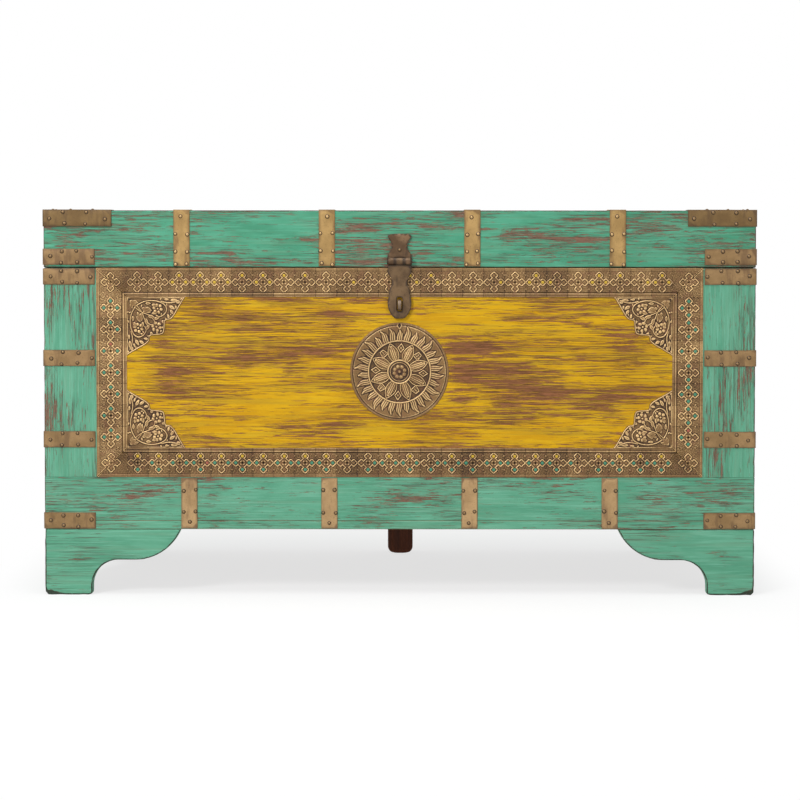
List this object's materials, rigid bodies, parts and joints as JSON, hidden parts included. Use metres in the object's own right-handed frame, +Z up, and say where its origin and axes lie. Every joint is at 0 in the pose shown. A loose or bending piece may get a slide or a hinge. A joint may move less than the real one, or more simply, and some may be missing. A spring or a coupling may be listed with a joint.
{
  "type": "dowry chest",
  "caption": "Low painted wooden dowry chest on bracket feet, with a hinged flat lid, embossed brass front frame, brass straps and tacks, and an iron hasp over a staple.",
  "frame": {"origin": "on the floor, under the middle of the case", "axes": "+X to the chest's right as seen from the front, +Y from the front to the back, +Z up"},
  "size_m": [1.1458, 0.4886, 0.6209],
  "materials": {
    "green_painted_wood": "worn teal green paint over brown wood",
    "yellow_painted_wood": "worn mustard paint over brown wood",
    "old_wood": "bare old wood",
    "dark_wood": "dark stain",
    "embossed_brass": "aged, embossed",
    "strap_brass": "aged, plain",
    "tack_brass": "aged domes",
    "hasp_iron": "brown patina",
    "hinge_iron": "dark patina"
  },
  "bodies": {
    "case": {"front_bottom_rail": "green_painted_wood", "front_left_stile": "green_painted_wood", "front_right_stile": "green_painted_wood", "front_field_panel": "yellow_painted_wood", "back_panel": "green_painted_wood", "left_side_panel": "green_painted_wood", "right_side_panel": "green_painted_wood", "bottom_front_board": "green_painted_wood", "bottom_rear_board": "green_painted_wood", "front_left_foot_front": "green_painted_wood", "front_right_foot_front": "green_painted_wood", "rear_left_foot_back": "green_painted_wood", "rear_right_foot_back": "green_painted_wood", "front_left_foot_side": "green_painted_wood", "front_right_foot_side": "green_painted_wood", "rear_left_foot_side": "green_painted_wood", "rear_right_foot_side": "green_painted_wood", "corner_glue_blocks": "old_wood", "centre_rear_foot": "dark_wood", "brass_band_bottom": "embossed_brass", "brass_band_top": "embossed_brass", "brass_band_left": "embossed_brass", "brass_band_right": "embossed_brass", "spandrel_bottom_left": "embossed_brass", "spandrel_bottom_right": "embossed_brass", "spandrel_top_left": "embossed_brass", "spandrel_top_right": "embossed_brass", "medallion": "embossed_brass", "case_straps_front_left": "strap_brass", "case_straps_front_right": "strap_brass", "case_straps_rear_right": "strap_brass", "case_straps_rear_left": "strap_brass", "apron_straps": "strap_brass", "case_strap_tacks": "tack_brass", "hasp_staple": "hasp_iron", "hinge_case_leaves": "hinge_iron", "hinge_pins": "hinge_iron", "hinge_case_screws": "hinge_iron"},
    "lid": {"lid_front_board": "green_painted_wood", "lid_back_board": "green_painted_wood", "lid_left_board": "green_painted_wood", "lid_right_board": "green_painted_wood", "lid_front_plank": "green_painted_wood", "lid_middle_plank": "green_painted_wood", "lid_rear_plank": "green_painted_wood", "lid_battens": "old_wood", "lid_strap_outer_left": "strap_brass", "lid_strap_inner_left": "strap_brass", "lid_strap_inner_right": "strap_brass", "lid_strap_outer_right": "strap_brass", "lid_corner_caps": "strap_brass", "lid_corner_straps": "strap_brass", "lid_tacks": "tack_brass", "hasp_lid_plate": "hasp_iron", "hasp_pin": "hasp_iron", "hinge_lid_leaves": "hinge_iron", "hinge_lid_screws": "hinge_iron"},
    "hasp": {"hasp_tongue": "hasp_iron"}
  },
  "joints": [
    {"name": "lid_hinge", "type": "hinge", "parent": "case", "child": "lid", "pos_m": [0, 0.2356, 0.526], "axis": [-1, 0, 0], "range_deg": [0, 100]},
    {"name": "hasp_hinge", "type": "hinge", "parent": "lid", "child": "hasp", "pos_m": [0, -0.236, 0.5368], "axis": [-1, 0, 0], "range_deg": [0, 170]}
  ]
}
